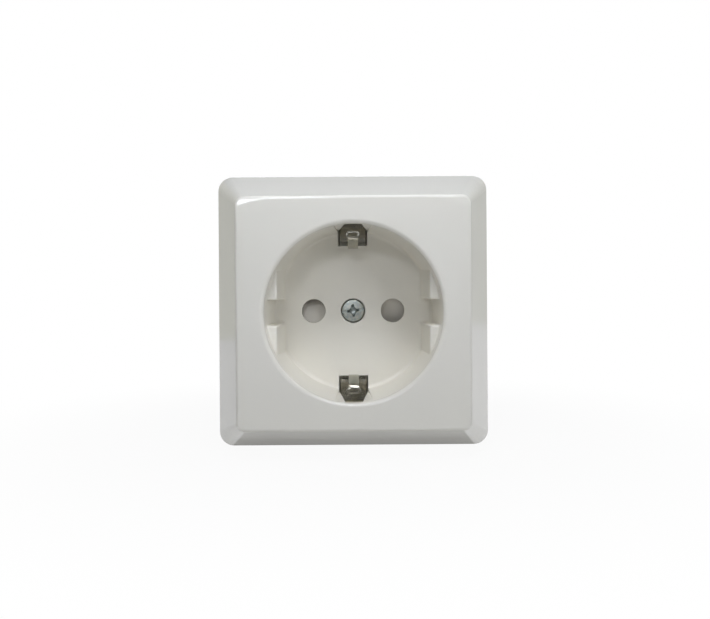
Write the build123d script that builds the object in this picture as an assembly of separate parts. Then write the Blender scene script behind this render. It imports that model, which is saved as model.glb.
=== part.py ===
from build123d import *
from math import hypot, radians, tan
import os

# An earthed recessed wall socket (Type F, with side earth clips) for surface mounting.
# It is modelled on its back: X to the right, Y up the wall, Z out of the wall, the wall at Z = 0.
# Each piece is turned upright as it is written: Z up, front towards -Y, the wall at Y = 0.
# All sizes are in millimetres, angles in degrees.

# Housing outline
housing_side = 65.0  # square outline where the cover stands on the base
outline_corner = 3.4  # corner radius of that outline
skirt_draft = 0.3  # the skirt narrows by this on each side up to the bevel
bevel_depth = 17.0  # from the bevel's foot to the front face
face_side = 51.0  # square of the flat front face
face_corner = 2.0
face_edge_radius = 0.6
foot_edge_radius = 0.6
wall = 2.0
inner_corner = 1.2

# Depth, counted up from the wall
base_floor = 2.5  # base left under the pin wells
tip_clearance = 1.0  # under the tips of the plug's pins
pin_length = 19.0
recess_depth = 17.5
flange = 3.0  # base plate, on which the cover's skirt stands
recess_floor = 2.0

# Plug recess
recess_d = 38.1  # at the recess floor
recess_draft = 0.5  # radius gained up to the front face
cup_wall = 1.8
lip_radius = 1.0
floor_fillet = 0.9
shoulder_gap = 32.8  # between the flats of the two shoulders, at the floor
shoulder_draft = 0.6
ledge_drop = 4.0  # from the front face down to the shoulders' ledges
groove_width = 5.8  # gap that halves each shoulder
shoulder_edge = 0.4  # radius on the shoulders' edges

# Pin holes
pin_pitch = 19.0
pin_hole_d = 5.75

# Earth slots in the recess wall and floor
slot_width = 7.0
slot_top_width = 3.9
slot_past_cage = 1.0  # from the shutter's cage out to the slots
slot_straight = 1.5  # height above the floor where the slot starts to narrow
slot_land = 1.3  # wall left between the slot and the front face
relief_width = 8.4  # flat moulded on the wall beside each slot, measured at its top
relief_depth = 0.1  # how far that flat lies outside the recess radius
pocket_depth = 2.6  # room behind each slot, outside the recess radius, for the clip to spring back
pocket_wall = 1.2
pocket_drop = 6.0  # how far the pocket's walls reach below the recess floor

# Cover screw
screw_d = 2.9
screw_hole_d = 3.4
head_d = 5.4
head_height = 2.0
head_edge = 0.35  # chamfer of the screw heads
head_sink = 0.35  # how far the head lies below the recess floor
counterbore_d = 5.9
screw_past_collar = 1.5
screw_end_room = 1.0

# Shutter and its cage
shutter_thickness = 3.2
shutter_gap = 0.25  # above and below the shutter
boss_d = 8.0  # boss under the recess floor, on which the shutter turns
running_clearance = 0.05
hub_d = 11.0
blade_r = 13.2
blade_half_angle = 20.5
ramp_angle = 18.0
ramp_top = 3.4  # distance of the ramp's upper edge from the line of the pins
cage_plate = 1.2
cage_wall = 0.9
cage_clearance = 0.5  # round the blades
cage_hole_clearance = 0.2
cage_screw_gap = 0.2  # between the cage's drum and the pillars for its screws
cage_screw_angle = 45.0
cage_screw_d = 2.0
cage_screw_head_d = 3.8
cage_screw_head = 1.4
cage_screw_bite = 3.6
cage_ear_r = 2.4

# Shutter spring
spring_r = 1.0  # radius of the coil's centre line
spring_wire = 0.4  # across the corners of the wire's six-sided section
spring_length = 9.8
spring_turns = 5
spring_offset = 8.6  # from the socket's axis to the spring's axis
spring_end_clearance = 0.1
spring_stop = 1.2  # thickness of the lug and of the rib that hold the spring

# Sheet metal
strap_thickness = 0.8
strap_rise = 5.0  # earth strap above the base plate
strap_width = 6.0
arm_inset = 1.4  # from a slot's inner edge to the centre of the upright arm
arm_bend = 2.0
arm_shoulder_drop = 0.7  # the wide arm ends this far below the recess floor
tongue_width = 2.3
bulge_lean = 2.2  # how far the tongue leans in from its arm
bulge_rise = 7.5  # from the recess floor to the tongue's bulge
bulge_bend = 2.5
tip_lean = 1.9  # how far it leans back out to its tip
tip_bend_rise = 4.5  # from the bulge to the tip's bend
tip_bend = 0.8
tip_length = 1.5
tip_drop = 0.1  # how far the tip's end lies behind its bend
tip_width = 3.3  # at the middle of the six-sided tip
tip_end_width = 2.2
window_width = 2.1
window_length = 0.7
tray_drop = 3.0  # from the underside of the recess floor to the clip's tray
tray_clearance = 0.25  # round the tray and its stop, inside the pocket
stop_rise = 7.5  # from the recess floor to the end of the stop behind the tongue
collar_height = 1.4
collar_wall = 0.8
thread_clearance = 0.05

# Pin contacts
strip_rise = 2.0  # contact strips above the base plate
strip_thickness = 0.8
strip_width = 7.4
sleeve_d = 4.6
sleeve_wall = 0.6
sleeve_slit = 1.6
sleeve_flare = 0.45
sleeve_top_gap = 0.4  # below the cage
ring_clearance = 0.04
ring_wall = 0.4
ring_height = 5.0
ring_slit = 2.6

# Terminals
terminal_reach = 11.5  # from the pin to the terminal screw
terminal_end = 4.0  # strip past the terminal screw
terminal_screw_d = 2.9
terminal_head_d = 6.0
terminal_head = 2.2
terminal_screw_below = 3.0  # screw below the strip
terminal_end_room = 0.4
clamp_length = 6.8
clamp_thickness = 0.8
clamp_lip = 0.7
clamp_clearance = 0.1
earth_terminal_x = 10.5
earth_terminal_y = 10.8
ear_width = 6.0
rivet_d = 2.4
rivet_head_d = 4.0
rivet_head = 0.7
rivet_y = 7.2
rivet_depth = 4.0
contact_rivet_reach = 5.9  # from the pin to the rivet of its strip

# Base moulding
rim_height = 4.0
rim_wall = 1.6
rim_clearance = 0.25
tower_width = 11.0
tower_wall = 1.4
tower_drop = 2.2  # tower tops below the cage
well_clearance = 0.5  # round the pin in its well
pedestal_length = 29.0
pad_margin = 0.2
collar_room = 0.3
wall_screw_pitch = 44.0  # the four slots stand on a square
wall_slot_width = 4.2
wall_slot_length = 8.0
cable_hole_d = 11.0
cable_hole_x = -13.0
cable_hole_y = -13.0
knockout_width = 12.0
knockout_height = 10.0
knockout_skin = 0.7

# Levels and radii that follow from the sizes above
floor_z = base_floor + tip_clearance + pin_length
face_z = floor_z + recess_depth
under_z = floor_z - recess_floor
foot_z = face_z - bevel_depth
ledge_z = face_z - ledge_drop
shutter_top = under_z - shutter_gap
shutter_low = shutter_top - shutter_thickness
cage_top = shutter_low - shutter_gap
cage_low = cage_top - cage_plate
head_seat_z = floor_z - head_sink - head_height
strap_z = flange + strap_rise
strip_z = flange + strip_rise
sleeve_top = cage_low - sleeve_top_gap
tower_top = cage_low - tower_drop
screw_tip_z = strap_z - collar_height - screw_past_collar
shoulder_z = floor_z - arm_shoulder_drop
foot_side = housing_side - 2 * skirt_draft
recess_r = recess_d / 2
mouth_r = recess_r + recess_draft
cup_r = mouth_r + cup_wall
pocket_r = recess_r + pocket_depth
pin_x = pin_pitch / 2
pin_hole_r = pin_hole_d / 2
boss_r = boss_d / 2
cage_r = blade_r + cage_clearance + cage_wall
cage_screw_r = cage_r + cage_screw_gap + cage_ear_r
slot_inner_r = cage_r + slot_past_cage
clip_r = slot_inner_r + arm_inset
bulge_r = clip_r - bulge_lean
bulge_z = floor_z + bulge_rise
tip_bend_r = bulge_r + tip_lean
tip_bend_z = bulge_z + tip_bend_rise
tip_r = tip_bend_r + tip_length
tray_z = under_z - tray_drop
terminal_x = pin_x + terminal_reach
past = 1.0  # how far a cutting body runs past the face that it opens

UP = (Align.CENTER, Align.CENTER, Align.MIN)


def post(radius, low, high, x=0.0, y=0.0):
    """Round post between two heights."""
    return Pos(x, y, low) * Cylinder(radius, high - low, align=UP)


def block(width, height, low, high, x=0.0, y=0.0):
    """Rectangular block between two heights."""
    return Pos(x, y, low) * Box(width, height, high - low, align=UP)


def square(side, corner, z):
    """Rounded square at one height."""
    return Plane.XY.offset(z) * RectangleRounded(side, side, corner)


def frustum(low, high):
    """Straight-sided body between two rounded squares."""
    return loft([square(*low), square(*high)], ruled=True)


def around(angle, radius):
    """Place on a circle about the socket's axis."""
    return Rot(0, 0, angle) * Pos(radius, 0, 0)


def level_edges(piece, z):
    """Edges of a piece that lie at one height."""
    return piece.edges().filter_by_position(Axis.Z, z, z)


def both_sides(piece):
    """A piece and its mirror image to the left of the socket's axis."""
    return piece + mirror(piece, about=Plane.YZ)


# Cover: one moulding


def housing_outside():
    """Skirt and bevels with rounded front and foot edges."""
    skirt = frustum((housing_side, outline_corner, flange), (foot_side, outline_corner, foot_z))
    bevels = frustum((foot_side, outline_corner, foot_z), (face_side, face_corner, face_z))
    outside = skirt + bevels
    outside = fillet(level_edges(outside, face_z), face_edge_radius)
    return fillet(level_edges(outside, foot_z), foot_edge_radius)


def housing_inside():
    """Hollow of the cover, a wall's thickness inside the skirt, the bevels and the face."""
    lean = (foot_side - face_side) / 2 / bevel_depth
    inner_foot = foot_side - 2 * wall * hypot(1, lean)
    inner_face = inner_foot - 2 * lean * (bevel_depth - wall)
    skirt = frustum((housing_side - 2 * wall, inner_corner, flange), (inner_foot, inner_corner, foot_z))
    bevels = frustum((inner_foot, inner_corner, foot_z), (inner_face, inner_corner, face_z - wall))
    return skirt + bevels


def recess_space():
    """Room for the plug: a tapered bowl, narrowed by the shoulders except at their grooves."""
    rise = recess_depth + past
    bowl = Pos(0, 0, floor_z) * Cone(recess_r, recess_r + recess_draft * rise / recess_depth, rise, align=UP)
    reach = 2 * cup_r
    between_shoulders = loft(
        [
            Plane.XY.offset(floor_z) * Rectangle(shoulder_gap, reach),
            Plane.XY.offset(ledge_z) * Rectangle(shoulder_gap + 2 * shoulder_draft, reach),
        ],
        ruled=True,
    )
    mouth = block(reach, reach, ledge_z, face_z + past)
    grooves = block(reach, groove_width, floor_z, ledge_z)
    space = bowl & (between_shoulders + mouth + grooves)
    straight = space.edges().filter_by(GeomType.LINE)
    on_shoulders = straight.filter_by(lambda edge: abs(edge.center().Y) > groove_width / 4)
    space = fillet(on_shoulders.filter_by(lambda edge: edge.center().Z > floor_z), shoulder_edge)
    ledge_arcs = level_edges(space, ledge_z).filter_by(GeomType.CIRCLE)
    space = fillet(ledge_arcs, shoulder_edge)
    return fillet(level_edges(space, floor_z), floor_fillet)


def slot_outline(inset=0.0):
    """Outline of a slot from below its pocket up the wall to the lip, where it is narrower."""
    low = under_z - pocket_drop - past
    taper_z = floor_z + slot_straight
    top = face_z - slot_land
    half = slot_width / 2 - inset
    top_half = slot_top_width / 2 - inset
    right_side = [(half, low), (half, taper_z), (top_half, top)]
    left_side = [(-x, z) for x, z in reversed(right_side)]
    return Polygon(*right_side, *left_side, align=None)


def clip_slot():
    """Upper earth slot: up through the pocket and the floor, then up the wall, narrowing to the lip."""
    return extrude(Plane.XZ.offset(-pocket_r) * slot_outline(), pocket_r - slot_inner_r)


def clip_pocket():
    """Walls round the upper slot, behind the recess wall, that keep wires away from the clip."""
    width = slot_width + 2 * pocket_wall
    depth = pocket_r + pocket_wall - slot_inner_r
    return block(width, depth, under_z - pocket_drop, face_z - wall, 0, slot_inner_r + depth / 2)


def slot_relief():
    """Shallow flat beside the upper slot, which widens towards the lip as the slot narrows."""
    low = floor_z + slot_straight
    top = face_z - slot_land
    outline = Polygon(
        (-slot_width / 2, low),
        (slot_width / 2, low),
        (relief_width / 2, top),
        (-relief_width / 2, top),
        align=None,
    )
    flat = recess_r + relief_depth
    return extrude(Plane.XZ.offset(-flat) * outline, flat - slot_inner_r)


def cage_pillar():
    """Pillar under the recess floor that takes a cage screw."""
    return post(cage_ear_r, cage_top, under_z + past)


def knockout():
    """Thinned arch in the top of the skirt, broken out for a cable on the wall's surface."""
    arch = Rectangle(knockout_width, knockout_height - knockout_width / 2, align=(Align.CENTER, Align.MIN))
    arch += Pos(0, knockout_height - knockout_width / 2) * Circle(knockout_width / 2)
    arch &= Rectangle(knockout_width, knockout_height, align=(Align.CENTER, Align.MIN))
    outer = housing_side / 2 - skirt_draft * knockout_height / (foot_z - flange) - knockout_skin
    return Pos(0, 0, flange) * extrude(Plane.XZ.offset(-outer) * arch, wall + past)


def cover():
    """Front moulding with the plug recess hung from its face."""
    cup = post(cup_r, under_z, face_z)
    shell = housing_outside() - (housing_inside() - cup)
    shell += post(boss_r, cage_low, under_z + past)
    shell += clip_pocket() + mirror(clip_pocket(), about=Plane.XZ)
    for angle in (cage_screw_angle, cage_screw_angle + 180):
        shell += around(angle, cage_screw_r) * cage_pillar()
    shell -= recess_space()
    lip = level_edges(shell, face_z).filter_by(GeomType.CIRCLE).sort_by(SortBy.RADIUS)[-1]
    shell = fillet(lip, lip_radius)
    for cut in (clip_slot(), slot_relief()):
        shell -= cut + mirror(cut, about=Plane.XZ)
    shell -= both_sides(post(pin_hole_r, under_z - past, floor_z + past, pin_x))
    shell -= post(counterbore_d / 2, head_seat_z, floor_z + past)
    shell -= post(screw_hole_d / 2, cage_low - past, head_seat_z)
    pilot = post(cage_screw_d / 2, cage_top - past, cage_top + cage_screw_bite)
    for angle in (cage_screw_angle, cage_screw_angle + 180):
        shell -= around(angle, cage_screw_r) * pilot
    return shell - knockout()


# Shutter: a sprung turning plate held under the recess floor by its cage


def shutter():
    """Hub with two ramped blades; a pin on each ramp turns it clear of the holes."""
    reach = 2 * blade_r
    half = reach * tan(radians(blade_half_angle))
    wedge = Polygon((0, 0), (reach, -half), (reach, half), align=None)
    blades = extrude(Plane.XY.offset(shutter_low) * (wedge + Rot(0, 0, 180) * wedge), shutter_thickness)
    rotor = (blades & post(blade_r, shutter_low, shutter_top)) + post(hub_d / 2, shutter_low, shutter_top)
    slope = Rot(ramp_angle, 0, 0) * Box(blade_r, reach, reach, align=(Align.MIN, Align.MAX, Align.MIN))
    ramp = Pos(hub_d / 2, ramp_top, shutter_top) * slope
    rotor -= ramp + Rot(0, 0, 180) * ramp
    lug_x = (spring_length + spring_stop) / 2
    lug_height = spring_offset + spring_r + spring_wire
    rotor += block(spring_stop, lug_height, shutter_low, shutter_top, lug_x, lug_height / 2)
    return rotor - post(boss_r + running_clearance, shutter_low - past, shutter_top + past)


def shutter_cage():
    """Shallow drum with two screw ears and a rib that the spring pushes against."""
    cage = post(cage_r, cage_low, under_z) - post(cage_r - cage_wall, cage_top, under_z)
    ear = block(cage_screw_r, 2 * cage_ear_r, cage_low, cage_top, cage_screw_r / 2)
    ear += post(cage_ear_r, cage_low, cage_top, cage_screw_r)
    ear -= post(cage_screw_d / 2 + thread_clearance, cage_low - past, cage_top + past, cage_screw_r)
    for angle in (cage_screw_angle, cage_screw_angle + 180):
        cage += Rot(0, 0, angle) * ear
    rib_x = -(spring_length + spring_stop) / 2
    rib_low_y = spring_offset - spring_r - spring_wire
    rib_y = cage_r - rib_low_y
    rib = block(spring_stop, rib_y, cage_low, shutter_top, rib_x, rib_low_y + rib_y / 2)
    cage += rib & post(cage_r, cage_low, under_z)
    cage -= both_sides(post(pin_hole_r + cage_hole_clearance, cage_low - past, cage_top + past, pin_x))
    return cage - post(boss_r + cage_hole_clearance, cage_low - past, cage_top + past)


def shutter_spring():
    """Coil of wire between the cage's rib and the shutter's lug."""
    length = spring_length - 2 * spring_end_clearance - spring_wire
    start = (-length / 2, spring_offset, (shutter_top + shutter_low) / 2)
    coil = Helix(length / spring_turns, length, spring_r, center=start, direction=(1, 0, 0))
    section = Plane(origin=coil @ 0, z_dir=coil % 0) * RegularPolygon(spring_wire / 2, 6)
    return sweep(section, path=coil, is_frenet=True)


def headed_pin(shank_r, tip_z, head_r, seat_z, head):
    """Shank from its tip up to the seat, with a round head on it."""
    return post(shank_r, tip_z, seat_z) + post(head_r, seat_z, seat_z + head)


def cage_screws():
    """Two small screws that enter the cover's pillars from behind."""
    tip = cage_top + cage_screw_bite - thread_clearance
    shank = post(cage_screw_d / 2 - thread_clearance, cage_low, tip)
    screw = shank + post(cage_screw_head_d / 2, cage_low - cage_screw_head, cage_low)
    first = around(cage_screw_angle, cage_screw_r) * screw
    return first + Rot(0, 0, 180) * first


def cover_screw():
    """Machine screw from the recess floor into the earth strap's threaded collar."""
    screw = headed_pin(screw_d / 2, screw_tip_z, head_d / 2, head_seat_z, head_height)
    return chamfer(level_edges(screw, head_seat_z + head_height), head_edge)


# Earth strap: one strip, folded up at both ends into the clips


def collar(screw_r, under, x=0.0, y=0.0):
    """Drawn collar under a strip, to be threaded for a screw."""
    return post(screw_r + thread_clearance + collar_wall, under - collar_height, under, x, y)


def clip_tray():
    """Tray at the root of the upper tongue, turned up at its outer end into a stop behind the tongue."""
    inner = slot_inner_r + tray_clearance
    outer = pocket_r - tray_clearance
    width = slot_width - 2 * tray_clearance
    tray = block(width, outer - inner, tray_z, tray_z + strap_thickness, 0, (inner + outer) / 2)
    stop = extrude(Plane.XZ.offset(-outer) * slot_outline(tray_clearance), strap_thickness)
    return tray + (stop & block(width, 2 * outer, tray_z, floor_z + stop_rise))


def strap_half():
    """Upper half of the strap: level bar, upright arm, tray and the sprung tongue with its window."""
    level = strap_z + strap_thickness / 2
    path = FilletPolyline(
        (0, level),
        (clip_r, level),
        (clip_r, shoulder_z),
        (bulge_r, bulge_z),
        (tip_bend_r, tip_bend_z),
        (tip_r, tip_bend_z - tip_drop),
        radius=[arm_bend, arm_bend, bulge_bend, tip_bend],
    )
    strip = extrude(Plane.YZ * trace(path, strap_thickness), strap_width / 2, both=True)
    reach = 2 * cup_r
    arm = block(reach, reach, 0, shoulder_z)
    tongue = block(tongue_width, 2 * tip_bend_r, shoulder_z, face_z)
    middle = (tip_bend_r + tip_r) / 2
    right_side = [(tongue_width / 2, tip_bend_r), (tip_width / 2, middle), (tip_end_width / 2, tip_r)]
    left_side = [(-x, y) for x, y in reversed(right_side)]
    tip = extrude(Plane.XY.offset(bulge_z) * Polygon(*right_side, *left_side, align=None), face_z - bulge_z)
    window = block(window_width, window_length, bulge_z, face_z, 0, middle)
    return (strip & (arm + tongue + tip)) - window + clip_tray()


def earth_strap():
    """Strap with a threaded collar for the cover screw and an ear for the earth terminal."""
    half = strap_half()
    strap = half + mirror(half, about=Plane.XZ)
    ear_end = earth_terminal_x + terminal_end
    strap += block(ear_end, ear_width, strap_z, strap_z + strap_thickness, ear_end / 2, earth_terminal_y)
    over = strap_z + strap_thickness + past
    under = strap_z - collar_height - past
    strap += collar(screw_d / 2, strap_z)
    strap += collar(terminal_screw_d / 2, strap_z, earth_terminal_x, earth_terminal_y)
    strap -= post(screw_d / 2 + thread_clearance, under, over)
    strap -= post(terminal_screw_d / 2 + thread_clearance, under, over, earth_terminal_x, earth_terminal_y)
    for y in (rivet_y, -rivet_y):
        strap -= post(rivet_d / 2 + thread_clearance, under, over, 0, y)
    return strap


def rivet(seat_z, x, y):
    """Rivet pressed into the base through a strip."""
    return Pos(x, y) * headed_pin(rivet_d / 2, seat_z - rivet_depth, rivet_head_d / 2, seat_z, rivet_head)


def strap_rivets():
    """Two rivets that hold the strap on its pedestal."""
    seat = strap_z + strap_thickness
    return rivet(seat, 0, rivet_y) + rivet(seat, 0, -rivet_y)


# Pin contacts and terminals, built on the right


def pin_contact():
    """Brass strip with a split, flared sleeve round the pin and a collar at the terminal."""
    end = terminal_x + terminal_end
    top = strip_z + strip_thickness
    contact = block(end - pin_x, strip_width, strip_z, top, (end + pin_x) / 2)
    contact += post(strip_width / 2, strip_z, top, pin_x)
    sleeve_r = sleeve_d / 2
    sleeve = post(sleeve_r + sleeve_wall, strip_z, sleeve_top, pin_x)
    sleeve -= block(2 * strip_width, sleeve_slit, top, sleeve_top, pin_x)
    flare = Pos(pin_x, 0, sleeve_top) * Cone(sleeve_r, sleeve_r + sleeve_flare, 2 * sleeve_flare)
    contact += sleeve
    contact -= post(sleeve_r, strip_z - past, sleeve_top + past, pin_x) + flare
    contact += collar(terminal_screw_d / 2, strip_z, terminal_x)
    contact -= post(terminal_screw_d / 2 + thread_clearance, 0, top + past, terminal_x)
    return contact - post(rivet_d / 2 + thread_clearance, 0, top + past, pin_x + contact_rivet_reach)


def contact_spring():
    """Steel ring, slit on its inner side, that closes the sleeve on the pin."""
    inner = sleeve_d / 2 + sleeve_wall + ring_clearance
    low = tower_top - ring_height
    ring = post(inner + ring_wall, low, tower_top, pin_x) - post(inner, low, tower_top, pin_x)
    return ring - block(inner + ring_wall, ring_slit, low, tower_top, pin_x - (inner + ring_wall) / 2)


def terminal_clamp(x, y, strip_top, width):
    """Saddle over a strip, with lips down both its sides that stop it turning."""
    outer = width + 2 * (clamp_clearance + clamp_lip)
    top = strip_top + clamp_thickness
    low = strip_top - strip_thickness
    saddle = block(clamp_length, outer, low, top, x, y)
    saddle -= block(clamp_length, width + 2 * clamp_clearance, low, strip_top, x, y)
    return saddle - post(terminal_screw_d / 2 + thread_clearance, low, top, x, y)


def terminal_screw(x, y, strip_top):
    """Clamp screw of one terminal."""
    seat = strip_top + clamp_thickness
    tip = strip_top - strip_thickness - terminal_screw_below
    screw = headed_pin(terminal_screw_d / 2, tip, terminal_head_d / 2, seat, terminal_head)
    return Pos(x, y) * chamfer(level_edges(screw, seat + terminal_head), head_edge)


# Base: one moulding


def base_plate():
    """Flange with an upright rim that locates the cover."""
    plate = extrude(square(housing_side, outline_corner, 0), flange)
    rim_side = housing_side - 2 * wall - 2 * rim_clearance
    rim_corner = inner_corner - rim_clearance
    rim = extrude(square(rim_side, rim_corner, flange), rim_height)
    rim -= block(rim_side - 2 * rim_wall, rim_side - 2 * rim_wall, flange, flange + rim_height)
    rim -= block(knockout_width, rim_wall + 2 * past, flange, flange + rim_height, 0, (rim_side - rim_wall) / 2)
    return plate + rim


def contact_tower():
    """Square tower round a contact, open at the front, with a notch for the strip."""
    tower = block(tower_width, tower_width, flange, tower_top, pin_x)
    pocket = tower_width - 2 * tower_wall
    tower -= block(pocket, pocket, strip_z, tower_top, pin_x)
    notch = strip_width + 2 * clamp_clearance
    return tower - block(tower_width, notch, strip_z, tower_top, pin_x + tower_width / 2)


def terminal_pad():
    """Block under the outer end of a contact strip."""
    low_x = pin_x + tower_width / 2
    high_x = terminal_x + terminal_end
    width = strip_width + 2 * (clamp_clearance + clamp_lip + pad_margin)
    return block(high_x - low_x, width, flange, strip_z, (low_x + high_x) / 2)


def screw_well(screw_r, collar_top, bottom, x=0.0, y=0.0):
    """Hole for a drawn collar, and for the screw's end below it."""
    collar_r = screw_r + thread_clearance + collar_wall + collar_room
    return post(collar_r, bottom, collar_top + past, x, y)


def wall_slots():
    """Four level slots for wall screws, so that the socket can be shifted to line up."""
    corner = wall_screw_pitch / 2
    slot = extrude(Pos(corner, corner) * SlotOverall(wall_slot_length, wall_slot_width), flange)
    upper = both_sides(slot)
    return upper + mirror(upper, about=Plane.XZ)


def base():
    """Insulating base that carries the contacts, the earth strap and their terminals."""
    moulding = base_plate() + both_sides(contact_tower() + terminal_pad())
    moulding += block(pin_pitch - tower_width, pedestal_length, flange, strap_z)
    ear_end = earth_terminal_x + terminal_end
    pad_width = ear_width + 2 * (clamp_clearance + clamp_lip + pad_margin)
    moulding += block(ear_end, pad_width, flange, strap_z, ear_end / 2, earth_terminal_y)
    pin_well = post(sleeve_d / 2 + well_clearance, base_floor, strip_z + past, pin_x)
    strip_end_z = strip_z - terminal_screw_below - terminal_end_room
    ear_end_z = strap_z - terminal_screw_below - terminal_end_room
    moulding -= both_sides(pin_well + screw_well(terminal_screw_d / 2, strip_z, strip_end_z, terminal_x))
    moulding -= screw_well(screw_d / 2, strap_z, screw_tip_z - screw_end_room)
    moulding -= screw_well(terminal_screw_d / 2, strap_z, ear_end_z, earth_terminal_x, earth_terminal_y)
    strap_hole = post(rivet_d / 2, strap_z + strap_thickness - rivet_depth, strap_z + past, 0, rivet_y)
    moulding -= strap_hole + mirror(strap_hole, about=Plane.XZ)
    rivet_x = pin_x + contact_rivet_reach
    moulding -= both_sides(post(rivet_d / 2, strip_z + strip_thickness - rivet_depth, strip_z + past, rivet_x))
    moulding -= wall_slots()
    return moulding - post(cable_hole_d / 2, 0, flange, cable_hole_x, cable_hole_y)


def left(piece):
    """The mirror image of a right-hand piece."""
    return mirror(piece, about=Plane.YZ)


strip_top = strip_z + strip_thickness
strap_top = strap_z + strap_thickness
earth_place = (earth_terminal_x, earth_terminal_y, strap_top)
pieces = {
    "base": base(),
    "cover": cover(),
    "cover_screw": cover_screw(),
    "shutter": shutter(),
    "shutter_cage": shutter_cage(),
    "shutter_spring": shutter_spring(),
    "cage_screws": cage_screws(),
    "earth_strap": earth_strap(),
    "strap_rivets": strap_rivets(),
    "earth_clamp": terminal_clamp(*earth_place, ear_width),
    "earth_screw": terminal_screw(*earth_place),
}
right_hand = {
    "pin_contact": pin_contact(),
    "contact_spring": contact_spring(),
    "contact_rivet": rivet(strip_top, pin_x + contact_rivet_reach, 0),
    "terminal_clamp": terminal_clamp(terminal_x, 0, strip_top, strip_width),
    "terminal_screw": terminal_screw(terminal_x, 0, strip_top),
}
for name, piece in right_hand.items():
    pieces[name + "_right"] = piece
    pieces[name + "_left"] = left(piece)

os.makedirs("parts", exist_ok=True)
upright = Rot(90, 0, 0)
for name, piece in pieces.items():
    export_step(upright * piece, f"parts/{name}.step")
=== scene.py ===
import bpy
import numpy as np
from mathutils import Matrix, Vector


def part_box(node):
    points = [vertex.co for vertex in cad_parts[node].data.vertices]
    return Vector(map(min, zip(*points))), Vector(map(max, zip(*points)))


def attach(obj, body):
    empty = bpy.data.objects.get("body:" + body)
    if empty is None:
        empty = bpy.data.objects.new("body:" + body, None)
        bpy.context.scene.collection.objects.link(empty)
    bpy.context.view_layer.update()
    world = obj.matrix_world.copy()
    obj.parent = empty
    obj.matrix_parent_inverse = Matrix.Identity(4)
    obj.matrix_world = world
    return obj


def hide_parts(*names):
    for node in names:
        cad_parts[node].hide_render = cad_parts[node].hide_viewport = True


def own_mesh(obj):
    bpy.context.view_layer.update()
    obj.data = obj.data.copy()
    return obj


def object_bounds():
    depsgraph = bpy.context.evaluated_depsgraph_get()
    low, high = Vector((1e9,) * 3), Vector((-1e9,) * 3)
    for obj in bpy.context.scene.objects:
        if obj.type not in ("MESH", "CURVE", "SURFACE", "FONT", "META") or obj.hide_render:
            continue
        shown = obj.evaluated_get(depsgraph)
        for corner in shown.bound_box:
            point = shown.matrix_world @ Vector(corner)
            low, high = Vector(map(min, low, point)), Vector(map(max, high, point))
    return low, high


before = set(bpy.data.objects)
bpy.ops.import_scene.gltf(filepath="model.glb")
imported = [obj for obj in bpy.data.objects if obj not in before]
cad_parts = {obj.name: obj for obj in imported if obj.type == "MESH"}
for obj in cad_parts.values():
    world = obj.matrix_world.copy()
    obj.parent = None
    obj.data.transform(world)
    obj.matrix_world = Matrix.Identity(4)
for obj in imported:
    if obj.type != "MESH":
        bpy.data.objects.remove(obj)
cad_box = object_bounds()

# Base
# The base is one pale moulding of hard insulating plastic, dull and slightly mottled, with towers for the
# contacts and a pedestal for the earth strap. Screws through its slots hold it to the wall.

MM = 0.001  # in metres
BASE_COLOURS = (0.59, 0.565, 0.52), (0.67, 0.645, 0.60)
BASE_MOTTLE = 4 * MM  # size of the patches in its colour
BASE_ROUGHNESS = (0.45, 0.65)
BASE_WEAR = 1.5 * MM  # size of the patches in its roughness
BASE_GRAIN = 0.25 * MM
BASE_GRAIN_DEPTH = 0.02 * MM


class Shade:
    """One value in a node tree. Arithmetic on it adds Math nodes, and node() adds any other node."""

    def __init__(self, tree, socket=None):
        self.tree = tree
        self.socket = socket

    def node(self, kind, settings, sockets, output=0):
        """Adds a node: its settings first, then the values or links of its sockets; gives one output."""
        made = self.tree.nodes.new("ShaderNode" + kind)
        for key, value in settings.items():
            setattr(made, key, value)
        for key, value in sockets.items():
            self.feed(made.inputs[key], value)
        return Shade(self.tree, made.outputs[output])

    def feed(self, socket, value):
        """Links a value to a socket, or sets the socket to a plain number, colour or vector."""
        if isinstance(value, Shade):
            self.tree.links.new(value.socket, socket)
        else:
            socket.default_value = value

    def math(self, operation, *others):
        """Adds a Math node that works on this value and the others, in that order."""
        return self.node("Math", {"operation": operation}, dict(enumerate((self, *others))))

    def __add__(self, other):
        return self.math("ADD", other)

    def __sub__(self, other):
        return self.math("SUBTRACT", other)

    def __rsub__(self, other):
        return self.math("MULTIPLY", -1.0).math("ADD", other)

    def __mul__(self, other):
        return self.math("MULTIPLY", other)

    __radd__ = __add__
    __rmul__ = __mul__

    def ramp(self, low, high):
        """Smooth step from 0 at low to 1 at high."""
        span = {"From Min": low, "From Max": high}
        return self.node("MapRange", {"interpolation_type": "SMOOTHSTEP"}, {"Value": self, **span})

    def within(self, low, high):
        """Value from low to high as this one goes from 0 to 1."""
        return low + (high - low) * self

    def between(self, first, second):
        """Colour from first to second as this value goes from 0 to 1."""
        ends = {6: (*first, 1), 7: (*second, 1)}
        return self.node("Mix", {"data_type": "RGBA"}, {0: self, **ends}, output=2)

    def noise(self, size, detail=2.0):
        """Cloudy pattern over this place, with features of about the given size in metres."""
        return self.node("TexNoise", {}, {"Vector": self, "Scale": 1.0 / size, "Detail": detail})

    def bump(self, depth=1.0):
        """Surface relief of this value times a depth in metres."""
        return self.node("Bump", {}, {"Height": self, "Distance": depth})


def new_finish(name, metallic=0.0):
    """A material, its shader's sockets by name, and the place on the piece that its patterns start from."""
    material = bpy.data.materials.new(name)
    material.use_nodes = True
    tree = material.node_tree
    shader = tree.nodes["Principled BSDF"].inputs
    shader["Metallic"].default_value = metallic
    place = Shade(tree).node("TexCoord", {}, {}, output="Object")
    return material, shader, place


def dress(finish, *nodes):
    """Gives CAD nodes a finish."""
    for node in nodes:
        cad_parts[node].material_slots[0].material = finish


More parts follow.
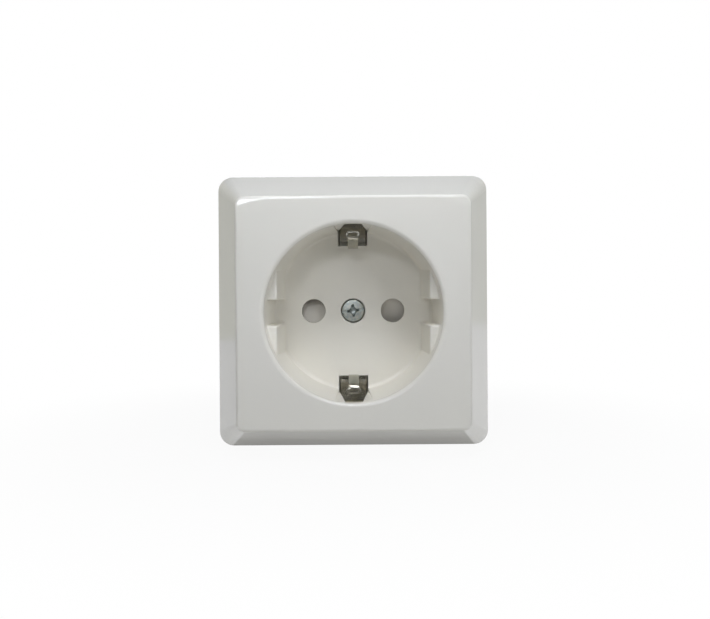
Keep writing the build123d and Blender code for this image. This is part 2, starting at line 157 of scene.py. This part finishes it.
def base_plastic():
    """Pale grey plastic, mottled by the powder it was pressed from, with the mould's dull grain."""
    finish, shader, place = new_finish("base_plastic")
    place.feed(shader["Base Color"], place.noise(BASE_MOTTLE, detail=4.0).between(*BASE_COLOURS))
    place.feed(shader["Roughness"], place.noise(BASE_WEAR).within(*BASE_ROUGHNESS))
    place.feed(shader["Normal"], place.noise(BASE_GRAIN).bump(BASE_GRAIN_DEPTH))
    return finish


dress(base_plastic(), "base")

# Pin contacts
# Each contact is stamped from brass strip and rolled into a split sleeve for a plug's pin. A slit ring of
# spring steel closes the sleeve, and a brass rivet with a domed head holds the strip on the base.

BRASS_COLOURS = (0.80, 0.63, 0.31), (0.52, 0.37, 0.17)  # bright, and brown in the patches
BRASS_ROUGHNESS = (0.22, 0.47)
BRASS_PATCH = 3 * MM
BRASS_PATCH_EDGE = (0.5, 0.75)  # levels of the pattern between which a patch sets in
BRASS_GRAIN = 0.12 * MM
BRASS_GRAIN_DEPTH = 0.003 * MM
STEEL_COLOURS = (0.36, 0.37, 0.39), (0.54, 0.55, 0.56)
STEEL_ROUGHNESS = (0.25, 0.45)
STEEL_STAIN = 1.2 * MM
RIVET_R = 1.2 * MM
RIVET_HEAD = 0.7 * MM
RIVET_TOP = 0.08  # share of the dome's quarter turn at which its first ring lies
RIVET_RINGS = 12
RIVET_SEGMENTS = 48
CREASE = np.radians(35)  # folds sharper than this stay sharp edges


def contact_brass():
    """Bare brass with a fine grain and dull brown patches."""
    finish, shader, place = new_finish("contact_brass", metallic=1.0)
    patches = place.noise(BRASS_PATCH, detail=5.0).ramp(*BRASS_PATCH_EDGE)
    place.feed(shader["Base Color"], patches.between(*BRASS_COLOURS))
    place.feed(shader["Roughness"], patches.within(*BRASS_ROUGHNESS))
    place.feed(shader["Normal"], place.noise(BRASS_GRAIN).bump(BRASS_GRAIN_DEPTH))
    return finish


def spring_steel():
    """Hard-drawn steel, grey with darker stains of oil."""
    finish, shader, place = new_finish("spring_steel", metallic=1.0)
    stains = place.noise(STEEL_STAIN, detail=4.0)
    place.feed(shader["Base Color"], stains.between(*STEEL_COLOURS))
    place.feed(shader["Roughness"], stains.within(*STEEL_ROUGHNESS))
    return finish


def closed_mesh(name, shells):
    """Mesh of closed shells, each an array of rings of points. Quads join neighbouring rings, and a fan
    about its middle closes the first and the last ring. Seen from before the first ring, the points of
    each run counter-clockwise."""
    points, faces, start = [], [], 0
    for rings in shells:
        count, segments, _ = rings.shape
        points.append(np.concatenate([rings.reshape(-1, 3), rings[[0, -1]].mean(axis=1)]))
        ring, step = np.meshgrid(np.arange(count), np.arange(segments), indexing="ij")
        here = start + ring * segments + step
        beside = np.roll(here, -1, axis=1)
        quads = np.stack([here[:-1], here[1:], beside[1:], beside[:-1]], axis=-1)
        faces += quads.reshape(-1, 4).tolist()
        first = np.full(segments, start + count * segments)
        faces += np.stack([first, here[0], beside[0]], axis=-1).tolist()
        faces += np.stack([first + 1, beside[-1], here[-1]], axis=-1).tolist()
        start += count * segments + 2
    mesh = bpy.data.meshes.new(name)
    mesh.from_pydata(np.concatenate(points), [], faces)
    mesh.shade_smooth()
    mesh.set_sharp_from_angle(angle=CREASE)
    return mesh


def new_piece(mesh, finish, node):
    """Puts a mesh with a finish on the housing in place of a CAD node, which it hides."""
    piece = bpy.data.objects.new(mesh.name, mesh)
    bpy.context.scene.collection.objects.link(piece)
    mesh.materials.append(finish)
    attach(piece, "housing")
    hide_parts(node)
    return piece


def turned(radius, out, centre, facing=-1):
    """Rings about an axis along Y. Radius and out, the height above the centre, are arrays of rings by
    segments, and the first ring is on the side that faces the front (-1) or the back (1)."""
    angle = np.linspace(0, 2 * np.pi, radius.shape[1], endpoint=False)
    across, up = radius * np.cos(angle), radius * np.sin(angle)
    return np.stack([centre[0] + across, centre[1] + facing * out, centre[2] - facing * up], axis=-1)


def middle(node):
    """Place on a node's front, in the middle of its outline as seen from there."""
    low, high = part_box(node)
    return (low.x + high.x) / 2, low.y, (low.z + high.z) / 2


def rivet(node, centre):
    """Rings of a rivet for a node: a dome that follows a quarter of an ellipse, then the plain shank."""
    low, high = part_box(node)
    head_r, length = (high.x - low.x) / 2, high.y - low.y
    turn = np.linspace(RIVET_TOP, 1, RIVET_RINGS) * np.pi / 2
    radius = np.append(head_r * np.sin(turn), [RIVET_R, RIVET_R])
    out = np.append(RIVET_HEAD * (np.cos(turn) - 1), [-RIVET_HEAD, -length])
    return turned(np.tile(radius[:, None], RIVET_SEGMENTS), np.tile(out[:, None], RIVET_SEGMENTS), centre)


brass = contact_brass()
steel = spring_steel()
for side in ("left", "right"):
    dress(brass, "pin_contact_" + side)
    dress(steel, "contact_spring_" + side)
    node = "contact_rivet_" + side
    new_piece(closed_mesh(node + "_domed", [rivet(node, middle(node))]), brass, node)

# Terminals
# Each terminal has a zinc-plated saddle, pressed from sheet, and a slotted screw that draws it down on the
# wire. The screws are cold-headed and their threads rolled.

ZINC_COLOURS = (0.52, 0.58, 0.62), (0.66, 0.65, 0.60)  # the blue film, and its yellow patches
ZINC_FILM = 0.9 * MM
ZINC_FILM_EDGE = (0.35, 0.65)  # levels of the pattern between which a patch sets in
ZINC_ROUGHNESS = (0.2, 0.45)
ZINC_DULL = 0.5 * MM
ZINC_GRAIN = 0.15 * MM
ZINC_GRAIN_DEPTH = 0.004 * MM
THREAD_PITCH = 0.5 * MM
THREAD_DEPTH = 0.25 * MM
RINGS_PER_THREAD = 6
SCREW_SEGMENTS = 144
HEAD_RINGS = 56
EDGE_RINGS = 6
DRIVE_SOFTNESS = 0.07 * MM  # width over which the edge of a drive is worn round
HEAD_DOME = 0.1 * MM  # fall of a head's top from its middle to its edge
TERMINAL_HEAD = 2.2 * MM
TERMINAL_EDGE = 0.35 * MM
TERMINAL_SHANK_R = 1.45 * MM
TERMINAL_SLOT_WIDTH = 0.9 * MM
TERMINAL_SLOT_DEPTH = 1.0 * MM
TERMINAL_TURNS = {"terminal_screw_left": 35, "terminal_screw_right": 110, "earth_screw": 65}  # degrees


def zinc_plate():
    """Bright zinc with a blue passivated film that is yellower in patches, and duller in others."""
    finish, shader, place = new_finish("zinc_plate", metallic=1.0)
    film = place.noise(ZINC_FILM, detail=4.0).ramp(*ZINC_FILM_EDGE)
    place.feed(shader["Base Color"], film.between(*ZINC_COLOURS))
    place.feed(shader["Roughness"], place.noise(ZINC_DULL, detail=3.0).within(*ZINC_ROUGHNESS))
    place.feed(shader["Normal"], place.noise(ZINC_GRAIN).bump(ZINC_GRAIN_DEPTH))
    return finish


def soft_step(inside):
    """1 inside an outline and 0 outside it, smooth across the drive's worn edge; takes the depth inside."""
    part = np.clip(inside / DRIVE_SOFTNESS + 0.5, 0, 1)
    return part * part * (3 - 2 * part)


def slot_drive(width, depth):
    """Depth of a straight slot across a head, as a function of the place on it."""
    return lambda across, up: depth * soft_step(width / 2 - np.abs(up))


def head_rings(head_r, head, edge):
    """Radius and height of a head's rings: a top that falls with the square of the radius, a quarter round
    at the edge, and the plain side."""
    flat = np.linspace(0, 1, HEAD_RINGS)[1:]
    arc = np.linspace(0, np.pi / 2, EDGE_RINGS)[1:]
    side = np.linspace(-HEAD_DOME - edge, -head, EDGE_RINGS)[1:]
    radius = [(head_r - edge) * flat, head_r - edge + edge * np.sin(arc), np.full(len(side), head_r)]
    out = [-HEAD_DOME * flat ** 2, -HEAD_DOME - edge * (1 - np.cos(arc)), side]
    return np.concatenate(radius)[:, None], np.concatenate(out)[:, None]


def screw(head_r, head, edge, shank_r, length, drive, turn):
    """Radius and height of a screw's rings: a head from whose top the drive is cut down, and a shank whose
    radius follows a helical saw-tooth that fades at both ends. Turn is in degrees."""
    angle = np.linspace(0, 2 * np.pi, SCREW_SEGMENTS, endpoint=False)
    turned_angle = angle - np.radians(turn)
    head_radius, head_out = head_rings(head_r, head, edge)
    cut = drive(head_radius * np.cos(turned_angle), head_radius * np.sin(turned_angle))
    head_out = np.minimum(head_out, -np.minimum(cut, head))
    along = np.linspace(0, length, round(length / THREAD_PITCH * RINGS_PER_THREAD))[:, None]
    groove = np.abs(2 * ((along / THREAD_PITCH + angle / (2 * np.pi)) % 1) - 1)
    fade = np.clip(np.minimum(along, length - along) / THREAD_PITCH, 0, 1)
    shank_radius = shank_r - THREAD_DEPTH * (1 - fade + fade * groove)
    radius = np.concatenate([np.broadcast_to(head_radius, cut.shape), shank_radius])
    return radius, np.concatenate([head_out, np.broadcast_to(-head - along, shank_radius.shape)])


def terminal_screw(node, turn):
    """Replaces a terminal's screw by one with a slot, a rounded head and a thread."""
    low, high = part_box(node)
    length = high.y - low.y - TERMINAL_HEAD
    drive = slot_drive(TERMINAL_SLOT_WIDTH, TERMINAL_SLOT_DEPTH)
    head_r = (high.x - low.x) / 2
    radius, out = screw(head_r, TERMINAL_HEAD, TERMINAL_EDGE, TERMINAL_SHANK_R, length, drive, turn)
    new_piece(closed_mesh(node + "_threaded", [turned(radius, out, middle(node))]), zinc, node)


zinc = zinc_plate()
dress(zinc, "terminal_clamp_left", "terminal_clamp_right", "earth_clamp")
for node, turn in TERMINAL_TURNS.items():
    terminal_screw(node, turn)

# Earth strap
# The strap is one strip of plated brass. Its ends are bent up through the slots of the cover into sprung
# clips that touch a plug's earth contacts, and two rivets hold it on the base's pedestal.

STRIP_COLOURS = (0.38, 0.36, 0.30), (0.50, 0.48, 0.42)
STRIP_ROUGHNESS = (0.12, 0.27)
STRIP_DULL = 1.4 * MM
STRIP_GRAIN = 0.1 * MM
STRIP_GRAIN_DEPTH = 0.002 * MM
STRAP_WELD = 0.0005 * MM  # corners of triangles that lie nearer than this are one
STRAP_EDGE = 0.08 * MM
STRAP_EDGE_STEPS = 2


def plated_strip():
    """Nickel plate dulled to a warm grey, with a fine grain."""
    finish, shader, place = new_finish("plated_strip", metallic=1.0)
    dull = place.noise(STRIP_DULL, detail=5.0)
    place.feed(shader["Base Color"], dull.between(*STRIP_COLOURS))
    place.feed(shader["Roughness"], dull.within(*STRIP_ROUGHNESS))
    place.feed(shader["Normal"], place.noise(STRIP_GRAIN).bump(STRIP_GRAIN_DEPTH))
    return finish


def blunt_edges(node):
    """Joins a CAD node's loose triangles and rounds its edges a little, as blanking and plating do."""
    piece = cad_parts[node]
    joined = piece.modifiers.new("joined", "WELD")
    joined.merge_threshold = STRAP_WELD
    blunt = piece.modifiers.new("blunt", "BEVEL")
    blunt.width = STRAP_EDGE
    blunt.segments = STRAP_EDGE_STEPS
    blunt.limit_method = "ANGLE"
    blunt.angle_limit = CREASE
    blunt.harden_normals = True


dress(plated_strip(), "earth_strap")
blunt_edges("earth_strap")
low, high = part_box("strap_rivets")
rivet_z = high.z - (high.x - low.x) / 2
strap_rivets = [rivet("strap_rivets", (0, low.y, z)) for z in (rivet_z, -rivet_z)]
new_piece(closed_mesh("strap_rivets_domed", strap_rivets), zinc, "strap_rivets")

# Cover
# The cover is one glossy white moulding with the plug recess hung from its face. It stands on the base and
# is held by the single screw in the recess floor. The face sinks a little towards its corners and its edge,
# as on a thick moulding, and the recess is less polished.

COVER_COLOURS = (0.88, 0.847, 0.76), (0.905, 0.871, 0.784)
COVER_CLOUD = 14 * MM
COVER_ROUGHNESS = (0.08, 0.15)
COVER_MARK = 5 * MM
COVER_MARK_EDGE = (0.45, 0.8)  # levels of the pattern between which a mark sets in
CORNER_SLANT = 0.28  # the sunk corners are cut off by lines of this slope
CORNER_SINK = (29.2 * MM, 32.2 * MM)  # height plus slant where they start and where they are full
CORNER_DROP = 0.17 * MM
CORNER_DULL = 0.05  # roughness that the corners have more than the rest
BRIM_SINK = (24.65 * MM, 25.4 * MM)  # heights between which the face falls away to its edge
BRIM_DROP = 0.042 * MM
FACE_EDGE = (0.0, 0.5 * MM)  # depths behind the face between which the sinking ends
RECESS_START = (0.3 * MM, 1.3 * MM)  # depths behind the face between which the recess loses its polish
RECESS_END = (22 * MM, 24 * MM)  # radii past which nothing belongs to the recess
RECESS_DULL = 0.26  # roughness that the recess has more than the rest
RIPPLE = 2.5 * MM
RIPPLE_DEPTH = 0.002 * MM


def cover_plastic():
    """Polished cream-white plastic with faint clouding, handling marks and a slight waviness. The face sinks
    at its corners and at its upper and lower edge, and the recess is duller."""
    finish, shader, place = new_finish("cover_plastic")
    place.feed(shader["Base Color"], place.noise(COVER_CLOUD, detail=3.0).between(*COVER_COLOURS))
    aside, back, up = [place.node("SeparateXYZ", {}, {0: place}, output=axis) for axis in "XYZ"]
    height = up.math("ABSOLUTE")
    depth = back - cad_box[0].y
    on_face = 1.0 - depth.ramp(*FACE_EDGE)
    corner = on_face * (height + CORNER_SLANT * aside.math("ABSOLUTE")).ramp(*CORNER_SINK)
    brim = on_face * height.ramp(*BRIM_SINK)
    radius = (aside * aside + up * up).math("SQRT")
    in_recess = depth.ramp(*RECESS_START) * (1.0 - radius.ramp(*RECESS_END))
    marks = place.noise(COVER_MARK, detail=5.0).ramp(*COVER_MARK_EDGE)
    roughness = marks.within(*COVER_ROUGHNESS) + CORNER_DULL * corner + RECESS_DULL * in_recess
    place.feed(shader["Roughness"], roughness)
    ripple = RIPPLE_DEPTH * place.noise(RIPPLE, detail=1.0)
    sink = CORNER_DROP * corner * corner + BRIM_DROP * brim * brim
    place.feed(shader["Normal"], (ripple - sink).bump())
    return finish


dress(cover_plastic(), "cover")

# Shutter
# A plate of natural-white plastic under the recess floor closes both pin holes. A coil spring holds it shut,
# and a cage with two small cross-head screws holds it to the cover.

SHUTTER_COLOURS = (0.78, 0.74, 0.66), (0.82, 0.78, 0.70)
SHUTTER_CLOUD = 3 * MM
SHUTTER_ROUGHNESS = (0.35, 0.50)
SHUTTER_WEAR = 0.8 * MM
SHUTTER_GRAIN = 0.2 * MM
SHUTTER_GRAIN_DEPTH = 0.006 * MM
SPRING_WIRE_R = 0.19 * MM
SPRING_TURNS = 6.5
SPRING_DEAD_TURNS = 1.0  # turns that lie side by side at each end
SPRING_DEAD_PITCH = 2.1 * SPRING_WIRE_R
SPRING_STEPS = 48  # points along a turn
SPRING_SIDES = 12
CAGE_HEAD = 1.4 * MM
CAGE_HEAD_R = 1.9 * MM
CAGE_HEAD_EDGE = 0.5 * MM
CAGE_SHANK_R = 0.95 * MM
CAGE_CROSS_REACH = 1.1 * MM
CAGE_CROSS_DEPTH = 0.9 * MM
CAGE_TURN = 25  # degrees
CROSS_WIDTH = 0.6 * MM
CROSS_DIAMOND = 0.8  # half the diagonal of the diamond in the middle of a cross, as a share of its reach


def shutter_plastic():
    """Plain natural-white plastic with a dull moulded grain."""
    finish, shader, place = new_finish("shutter_plastic")
    place.feed(shader["Base Color"], place.noise(SHUTTER_CLOUD, detail=3.0).between(*SHUTTER_COLOURS))
    place.feed(shader["Roughness"], place.noise(SHUTTER_WEAR).within(*SHUTTER_ROUGHNESS))
    place.feed(shader["Normal"], place.noise(SHUTTER_GRAIN).bump(SHUTTER_GRAIN_DEPTH))
    return finish


def coil(start, stop, coil_r, y, z):
    """Rings of round wire along a helix about an axis along X. It advances by little more than a wire a turn
    over the dead turns at its ends, evenly between them, and each ring stands across its direction."""
    live_turns = SPRING_TURNS - 2 * SPRING_DEAD_TURNS
    turn = np.linspace(0, SPRING_TURNS, round(SPRING_TURNS * SPRING_STEPS))
    live = np.clip((turn - SPRING_DEAD_TURNS) / live_turns, 0, 1)
    live_length = stop - start - 2 * SPRING_WIRE_R - 2 * SPRING_DEAD_TURNS * SPRING_DEAD_PITCH
    x = start + SPRING_WIRE_R + (turn - live * live_turns) * SPRING_DEAD_PITCH + live * live_length
    sway, lift = np.cos(2 * np.pi * turn), np.sin(2 * np.pi * turn)
    path = np.stack([x, y + coil_r * sway, z + coil_r * lift], axis=-1)
    outward = np.stack([np.zeros_like(x), sway, lift], axis=-1)
    beside = np.cross(outward, np.gradient(path, axis=0))
    beside /= np.linalg.norm(beside, axis=1, keepdims=True)
    angle = np.linspace(0, 2 * np.pi, SPRING_SIDES, endpoint=False)[:, None]
    ring = np.cos(angle) * outward[:, None] + np.sin(angle) * beside[:, None]
    return path[:, None] + SPRING_WIRE_R * ring


def shutter_spring():
    """Replaces the spring by a coil that the shutter presses together as it turns."""
    low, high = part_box("shutter_spring")
    y, z = (low.y + high.y) / 2, (low.z + high.z) / 2
    rings = coil(low.x, high.x, (high.z - low.z) / 2 - SPRING_WIRE_R, y, z)
    piece = new_piece(closed_mesh("shutter_spring_coil", [rings]), steel, "shutter_spring")
    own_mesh(piece)


def cross_drive(reach, depth):
    """Depth of a cross recess as a function of the place on a head: two arms across a diamond, with a floor
    that rises to the ends of the arms as an ellipse does."""
    def cut(across, up):
        along = np.maximum(np.abs(across), np.abs(up))
        aside = np.minimum(np.abs(across), np.abs(up))
        in_diamond = (CROSS_DIAMOND * reach - along - aside) / np.sqrt(2)
        inside = np.maximum(CROSS_WIDTH / 2 - aside, in_diamond)
        return depth * np.sqrt(np.clip(1 - (along / reach) ** 2, 0, 1)) * soft_step(inside)
    return cut


def cage_screws():
    """Replaces the cage's screws, whose heads face the back, by ones with a cross recess and a thread."""
    low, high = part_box("cage_screws")
    length = high.y - low.y - CAGE_HEAD
    drive = cross_drive(CAGE_CROSS_REACH, CAGE_CROSS_DEPTH)
    radius, out = screw(CAGE_HEAD_R, CAGE_HEAD, CAGE_HEAD_EDGE, CAGE_SHANK_R, length, drive, CAGE_TURN)
    aside = high.x - CAGE_HEAD_R
    shells = [turned(radius, out, (place, high.y, place), facing=1) for place in (aside, -aside)]
    new_piece(closed_mesh("cage_screws_threaded", shells), zinc, "cage_screws")


dress(shutter_plastic(), "shutter", "shutter_cage")
shutter_spring()
cage_screws()

# Cover screw
# A zinc-plated machine screw with a combined slot and cross drive lies in the counterbore of the recess
# floor and pulls the cover down on the base. It is cold-headed, and its drive is darkened by painted shade.

CLEAN_COLOURS = (0.50, 0.56, 0.55), (0.71, 0.71, 0.63)
# colours of the painted shade in the screw's drive
DRIVE_SHADE_COLOURS = (0.31, 0.37, 0.37), (0.45, 0.47, 0.45)
WORN_FILM = 0.6 * MM
WORN_FILM_EDGE = (0.3, 0.7)  # levels of the pattern between which a patch sets in
WORN_ROUGHNESS = (0.25, 0.50)
WORN_DULL = 0.4 * MM
WORN_GRAIN = 0.2 * MM
WORN_GRAIN_DEPTH = 0.02 * MM
COVER_HEAD = 2.0 * MM
COVER_HEAD_EDGE = 0.35 * MM
COVER_SHANK_R = 1.45 * MM
COVER_SLOT_WIDTH = 0.55 * MM
COVER_SLOT_DEPTH = 0.3 * MM
COVER_CROSS_REACH = 1.45 * MM
COVER_CROSS_DEPTH = 1.5 * MM
COVER_TURN = 7.0  # degrees
DRIVE_SHADE_DEPTHS = (0.1 * MM, 0.6 * MM)  # depths in the drive between which the painted shade grows full
DRIVE_FLOOR_LIGHT_DEPTHS = (1.43 * MM, 1.5 * MM)  # depths between which painted light on the drive's floor sets in
DRIVE_FLOOR_LIGHT_SHARE = 0.4  # share of the painted shade that the painted light takes off there


def worn_zinc_and_drive_shade(top):
    """Zinc gone dull and greenish in patches, with painted shade in the drive below the head's top, lifted
    by painted light on the drive's floor.
    """
    finish, shader, place = new_finish("worn_zinc_and_drive_shade", metallic=1.0)
    film = place.noise(WORN_FILM, detail=5.0).ramp(*WORN_FILM_EDGE)
    depth = place.node("SeparateXYZ", {}, {0: place}, output="Y") - top
    # Painted shade: the drive darkens with depth below the head's top, and painted light lifts its floor
    # again.
    drive_shade = depth.ramp(*DRIVE_SHADE_DEPTHS) * (1.0 - DRIVE_FLOOR_LIGHT_SHARE * depth.ramp(*DRIVE_FLOOR_LIGHT_DEPTHS))
    ends = {6: film.between(*CLEAN_COLOURS), 7: film.between(*DRIVE_SHADE_COLOURS)}
    colour = drive_shade.node("Mix", {"data_type": "RGBA"}, {0: drive_shade, **ends}, output=2)
    place.feed(shader["Base Color"], colour)
    place.feed(shader["Roughness"], place.noise(WORN_DULL, detail=3.0).within(*WORN_ROUGHNESS))
    place.feed(shader["Normal"], place.noise(WORN_GRAIN, detail=3.0).bump(WORN_GRAIN_DEPTH))
    return finish


def cover_screw():
    """Replaces the cover screw by one with its drive and thread."""
    slot = slot_drive(COVER_SLOT_WIDTH, COVER_SLOT_DEPTH)
    cross = cross_drive(COVER_CROSS_REACH, COVER_CROSS_DEPTH)

    def drive(across, up):
        return np.maximum(slot(across, up), cross(across, up))

    low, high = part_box("cover_screw")
    length = high.y - low.y - COVER_HEAD
    head_r = (high.x - low.x) / 2
    radius, out = screw(head_r, COVER_HEAD, COVER_HEAD_EDGE, COVER_SHANK_R, length, drive, COVER_TURN)
    mesh = closed_mesh("cover_screw_threaded", [turned(radius, out, middle("cover_screw"))])
    new_piece(mesh, worn_zinc_and_drive_shade(low.y), "cover_screw")


cover_screw()

# Floor
# A plain pale floor under the socket, which fades to white away from it, and plain cards that only show
# in reflections: a grey one under the socket's front, two dim ones before it, and three pale ones behind
# the bevels. All sizes and places are in metres.

FLOOR_SIZE = 4.0
FLOOR_DROP = 0.05 * MM  # below the socket's underside, so that the two don't lie in one plane
FLOOR_COLOUR = (0.7, 0.7, 0.69)
FLOOR_WHITE = (0.94, 1.0)  # near the socket and far from it
FLOOR_FADE = (0.04, 0.13)  # distances from the middle of the socket's back
CARD_LIFT = 0.2 * MM  # of the two level cards above the socket's underside
UNDER_HALVES = (18 * MM, 40 * MM)  # half widths of the card under the socket, in front and at the back
UNDER_END = -0.046  # where that card ends in front
UNDER_COLOUR = (0.5, 0.5, 0.49)
NEAR_START = -0.07  # where the next one starts; bare floor between them shows in the upper earth clip
NEAR_COLOUR = (0.24, 0.24, 0.235)
FRONT_END = -0.70  # where that one ends and the upright one stands
FRONT_HALF = 0.90  # half the width of both, and the top of the upright one
FRONT_COLOUR = (0.185, 0.19, 0.19)
CARD_NEAR = (0.32, 0.13)  # aside and back, for the near edge of a card behind a bevel
CARD_FAR = (0.07, 0.30)  # the same for its far edge
CARD_END = 0.40  # top of the side cards, and half the width of the top one
LEFT_BOTTOM = -0.027
LEFT_COLOUR = (0.86, 0.86, 0.775)
RIGHT_BOTTOM = -0.018
RIGHT_COLOUR = (0.79, 0.795, 0.74)
TOP_COLOUR = (0.62, 0.64, 0.66)
lowest = cad_box[0]


def seen_rays(start):
    """1 for the rays that show a background: those from the camera, and mirrored or transmitted ones."""
    rays = [start.node("LightPath", {}, {}, output=name) for name in
            ("Is Camera Ray", "Is Glossy Ray", "Is Transmission Ray")]
    return rays[0].math("MAXIMUM", rays[1]).math("MAXIMUM", rays[2])


def stage_sheet(name, corners):
    """Flat sheet between four corners that isn't part of the socket; gives its object and node tree."""
    mesh = bpy.data.meshes.new(name)
    mesh.from_pydata(corners, [], [(0, 1, 2, 3)])
    piece = bpy.data.objects.new(name, mesh)
    bpy.context.scene.collection.objects.link(piece)
    material = bpy.data.materials.new(name)
    material.use_nodes = True
    mesh.materials.append(material)
    return piece, material.node_tree


def level_corners(halves, front, back, z):
    """Corners of a level sheet across the socket's middle, from its half widths in front and at the back."""
    near, far = halves
    return [(-near, front, z), (near, front, z), (far, back, z), (-far, back, z)]


def upright_corners(half_width, y, bottom, top):
    """Corners of an upright sheet across the view."""
    return [(-half_width, y, bottom), (half_width, y, bottom), (half_width, y, top), (-half_width, y, top)]


def side_corners(side, bottom):
    """Corners of an upright card behind the right (1) or the left (-1) bevel."""
    edges = [(side * aside, back) for aside, back in (CARD_NEAR, CARD_FAR)]
    return [(x, y, bottom) for x, y in edges] + [(x, y, CARD_END) for x, y in reversed(edges)]


def top_corners():
    """Corners of a leaning card behind the top bevel."""
    near, far = [(back, aside) for aside, back in (CARD_NEAR, CARD_FAR)]
    return [(-CARD_END, *near), (CARD_END, *near), (CARD_END, *far), (-CARD_END, *far)]


def floor():
    """Wide sheet that keeps the socket's shadow and is white where it shows as a background."""
    half = FLOOR_SIZE / 2
    _, tree = stage_sheet("floor", level_corners((half, half), -half, half, lowest.z - FLOOR_DROP))
    start = Shade(tree)
    plain = start.node("BsdfDiffuse", {}, {"Color": (*FLOOR_COLOUR, 1)})
    white = start.node("Emission", {}, {"Color": (1, 1, 1, 1), "Strength": 1.0})
    place = start.node("TexCoord", {}, {}, output="Object")
    away = place.node("VectorMath", {"operation": "LENGTH"}, {0: place}, output="Value").ramp(*FLOOR_FADE)
    whiteness = away.within(*FLOOR_WHITE) * seen_rays(start)
    look = start.node("MixShader", {}, {0: whiteness, 1: plain, 2: white})
    start.feed(tree.nodes["Material Output"].inputs["Surface"], look)


def card(name, corners, colour):
    """Plain card that only shows in reflections: it isn't seen itself and throws no shadow."""
    piece, tree = stage_sheet(name, corners)
    piece.visible_camera = False
    piece.visible_shadow = False
    piece.visible_diffuse = False
    start = Shade(tree)
    glow = start.node("Emission", {}, {"Color": (*colour, 1)})
    start.feed(tree.nodes["Material Output"].inputs["Surface"], glow)


floor()
near_halves = (FRONT_HALF, FRONT_HALF)
card_z = lowest.z + CARD_LIFT
card("under_card", level_corners(UNDER_HALVES, UNDER_END, 0.0, card_z), UNDER_COLOUR)
card("near_card", level_corners(near_halves, FRONT_END, NEAR_START, card_z), NEAR_COLOUR)
card("front_card", upright_corners(FRONT_HALF, FRONT_END, lowest.z, FRONT_HALF), FRONT_COLOUR)
card("left_card", side_corners(-1, LEFT_BOTTOM), LEFT_COLOUR)
card("right_card", side_corners(1, RIGHT_BOTTOM), RIGHT_COLOUR)
card("top_card", top_corners(), TOP_COLOUR)

# Light
# A white surround, which lights the socket less than it shows, and soft lamps overhead, in front, from the
# right and from behind. Lamps named fill don't show in reflections, and those named shine show only there.

SURROUND = 0.05
AIM_DEPTH = 0.75  # share of the socket's depth, from the wall, at which the lamps aim
LAMPS = {  # distance, elevation and azimuth in degrees (0 is in front), width, height, radiance
    "overhead_fill": (0.16, 57, 1, 0.06, 0.03, 19.0),
    "overhead_shine": (0.16, 57, 2, 0.12, 0.08, 3.45),
    "brow": (0.14, 45, 0, 0.12, 0.03, 1.2),
    "strip": (0.50, 20, -10, 0.13, 0.04, 14.8),
    "strip_shine": (0.50, 20, -12, 0.10, 0.04, 5.0),
    "front_fill": (0.30, 12, 5, 0.10, 0.10, 0.4),
    "right_fill": (0.50, 16, 34, 0.12, 0.12, 5.0),
    "side_fill": (0.50, 8, 65, 0.12, 0.12, 4.0),
    "rear_left_fill": (0.60, 15, -150, 0.30, 0.30, 3.0),
    "rear_right_fill": (0.60, 15, 150, 0.30, 0.30, 3.0),
}
LAMP_COLOUR = (0.965, 1.005, 1.085)


def surround():
    """White world that is dimmer for the light that it throws than as a background."""
    world = bpy.data.worlds.new("surround")
    bpy.context.scene.world = world
    world.use_nodes = True
    start = Shade(world.node_tree)
    sky = world.node_tree.nodes["Background"].inputs
    sky["Color"].default_value = (1, 1, 1, 1)
    start.feed(sky["Strength"], seen_rays(start).within(SURROUND, 1.0))


def lamp(name, place, aim, width, height, radiance):
    """Rectangular soft lamp at a place, turned towards a point; radiance is its brightness as seen."""
    data = bpy.data.lights.new(name, "AREA")
    data.shape = "RECTANGLE"
    data.size = width
    data.size_y = height
    data.energy = radiance * np.pi * width * height
    data.color = LAMP_COLOUR
    piece = bpy.data.objects.new(name, data)
    bpy.context.scene.collection.objects.link(piece)
    piece.location = place
    piece.rotation_mode = "QUATERNION"
    piece.rotation_quaternion = (aim - place).to_track_quat("-Z", "Y")
    piece.visible_camera = False
    return piece


def around(aim, distance, elevation, azimuth):
    """Place at a distance from a point, by degrees up from level and degrees to the right of the front."""
    up, side = np.radians(elevation), np.radians(azimuth)
    level = distance * np.cos(up)
    return aim + Vector((level * np.sin(side), -level * np.cos(side), distance * np.sin(up)))


surround()
aim = Vector((0, AIM_DEPTH * lowest.y, 0))
for name, (distance, elevation, azimuth, width, height, radiance) in LAMPS.items():
    made = lamp(name, around(aim, distance, elevation, azimuth), aim, width, height, radiance)
    made.visible_glossy = not name.endswith("fill")
    made.visible_diffuse = not name.endswith("shine")

# Camera
# It looks straight at the face from just above the middle, as the photograph does. Its frame is shifted
# instead of the camera being turned down, so upright edges stay upright.

FRAME_WIDTH = 710  # in pixels, as the next three are
FRAME_MIDDLE = (355.0, 309.5)
FOCAL_PIXELS = 715.0
AXIS_PIXEL = (349.8, 287.9)  # what the camera looks straight at
SENSOR_WIDTH = 36.0  # in millimetres, the lens's unit
NEAREST_SEEN = 10 * MM
CAMERA_PLACE = (-0.77 * MM, -194.8 * MM, 5.49 * MM)
ROLL_DEGREES = 0.39
camera = bpy.data.cameras.new("camera")
camera.sensor_width = SENSOR_WIDTH
camera.lens = FOCAL_PIXELS * SENSOR_WIDTH / FRAME_WIDTH
camera.shift_x = (FRAME_MIDDLE[0] - AXIS_PIXEL[0]) / FRAME_WIDTH
camera.shift_y = (AXIS_PIXEL[1] - FRAME_MIDDLE[1]) / FRAME_WIDTH
camera.clip_start = NEAREST_SEEN
viewer = bpy.data.objects.new("camera", camera)
bpy.context.scene.collection.objects.link(viewer)
viewer.location = CAMERA_PLACE
viewer.rotation_euler = (np.pi / 2, np.radians(ROLL_DEGREES), 0)
bpy.context.scene.camera = viewer
bpy.context.scene.view_settings.view_transform = "Standard"
